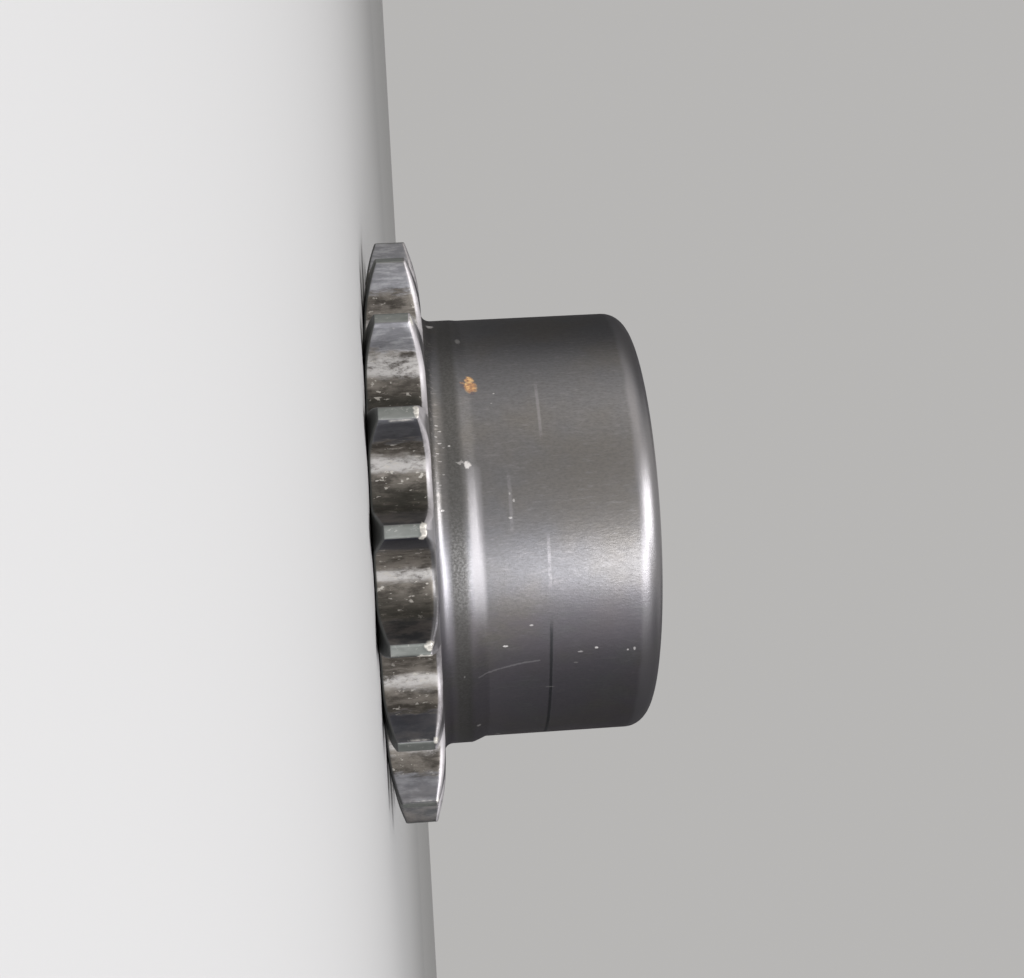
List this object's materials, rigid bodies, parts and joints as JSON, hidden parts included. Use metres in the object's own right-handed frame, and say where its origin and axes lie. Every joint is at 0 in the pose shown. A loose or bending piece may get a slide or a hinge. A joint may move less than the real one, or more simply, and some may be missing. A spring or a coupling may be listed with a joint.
{
  "type": "chain sprocket",
  "caption": "Single-row roller chain sprocket with a long round hub on one side, keyed bore and hobbed, side-relieved teeth; dark worn steel.",
  "frame": {"origin": "centre of the bore in the plain face of the toothed plate", "axes": "+Z along the bore from the toothed plate towards the hub's outer end; one tooth is centred on -Y; the keyway is at +X, between two teeth"},
  "size_m": [0.118, 0.1194, 0.053],
  "materials": {
    "dark_steel": "dark oxidised steel, satin, worn bright on edges"
  },
  "bodies": {
    "root": {"sprocket": "dark_steel"}
  },
  "joints": []
}
